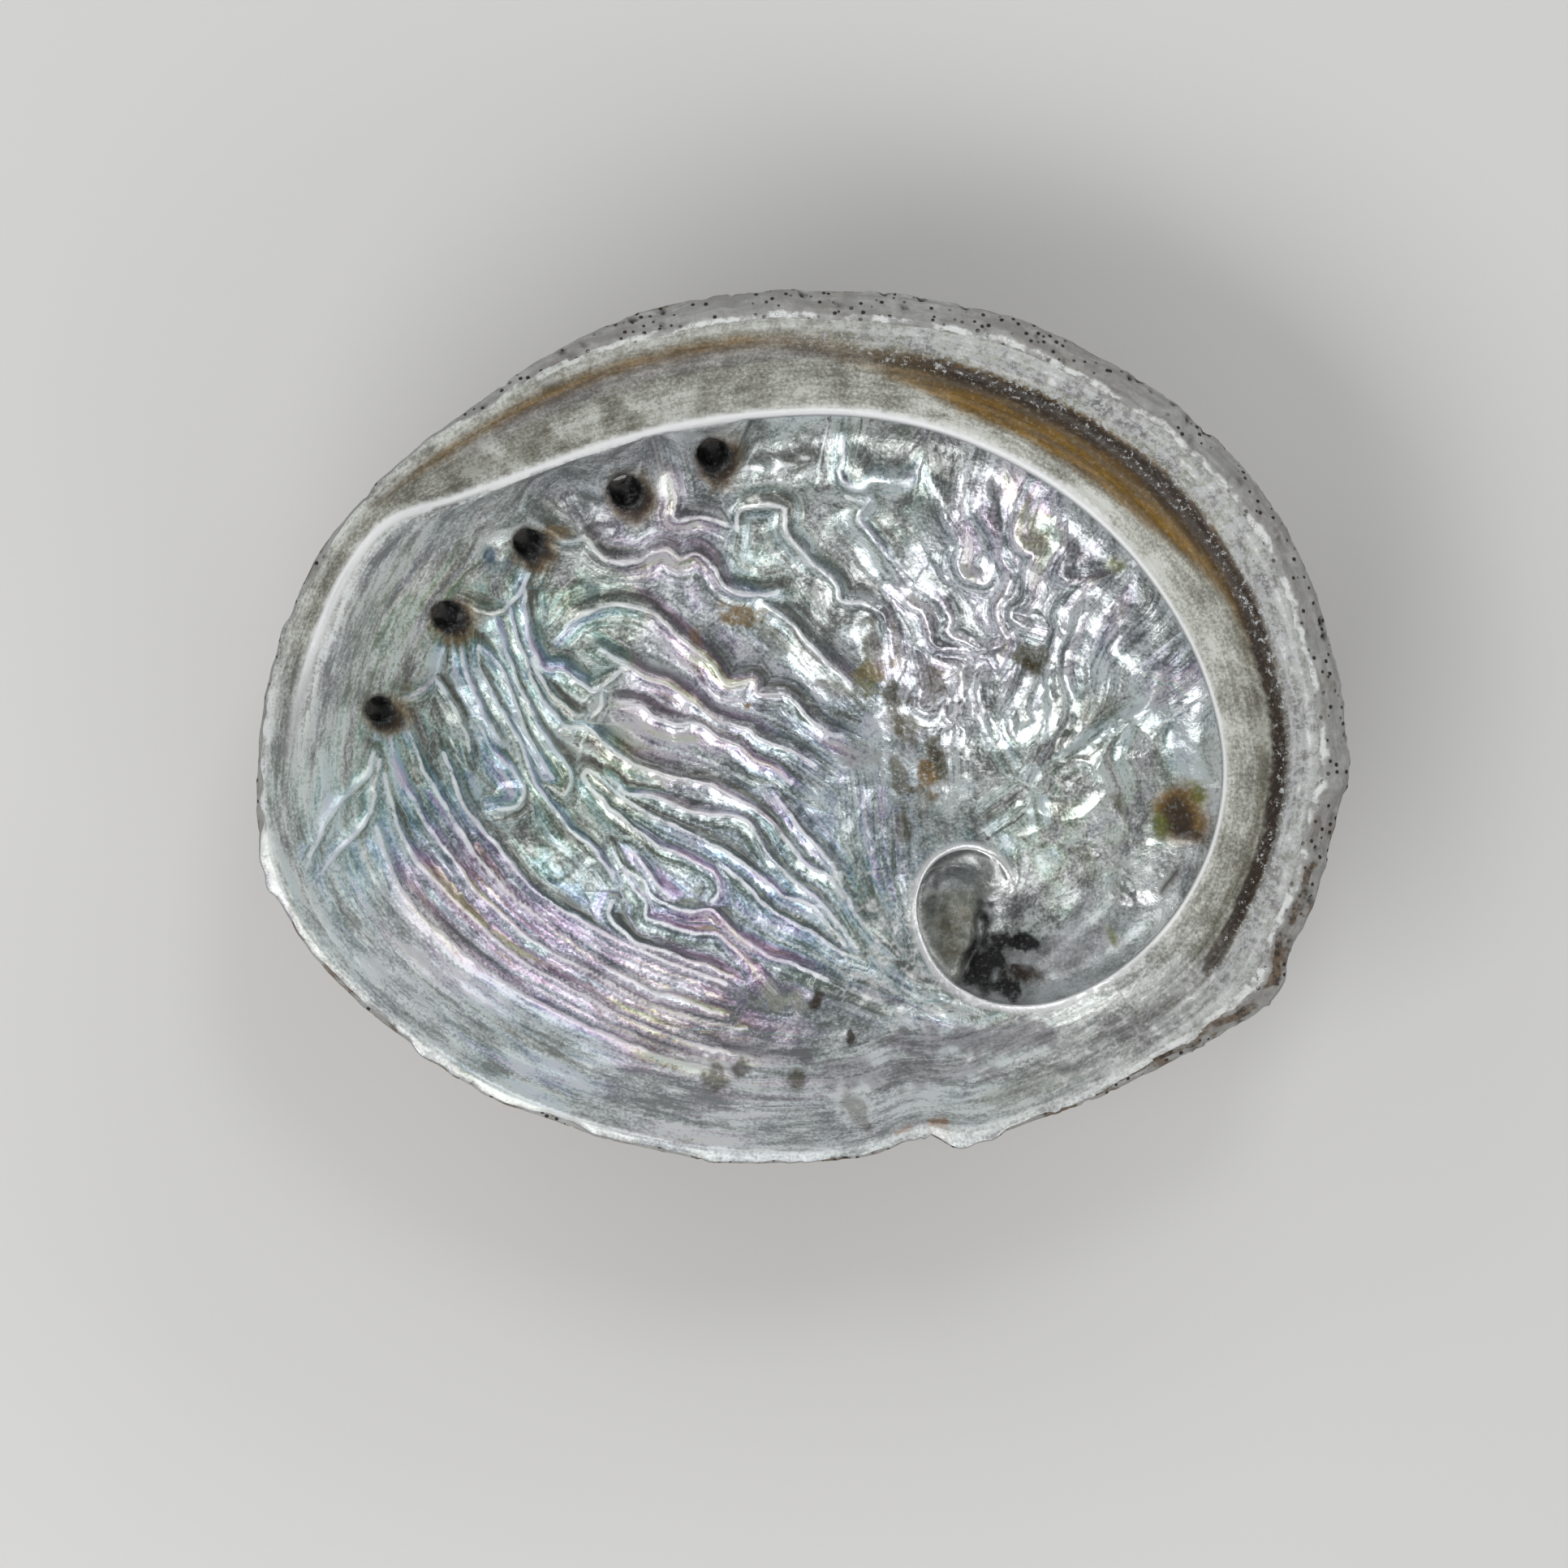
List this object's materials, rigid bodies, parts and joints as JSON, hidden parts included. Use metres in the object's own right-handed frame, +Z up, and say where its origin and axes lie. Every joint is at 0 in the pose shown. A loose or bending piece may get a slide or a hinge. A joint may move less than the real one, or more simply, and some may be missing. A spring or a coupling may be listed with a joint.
{
  "type": "abalone shell",
  "caption": "Ear-shaped bowl of shell with a broad inner shelf, a curl over the spire's hollow and a row of breathing holes.",
  "frame": {"origin": "under the middle of the shell's outline, on the surface it stands on", "axes": "+X along the length towards the spire's end, +Y across towards the shelf's side, +Z up out of the mouth"},
  "size_m": [0.156, 0.1254, 0.0421],
  "materials": {
    "shell": "nacre inside, chalky crust outside"
  },
  "bodies": {
    "root": {"abalone_shell": "shell"}
  },
  "joints": []
}
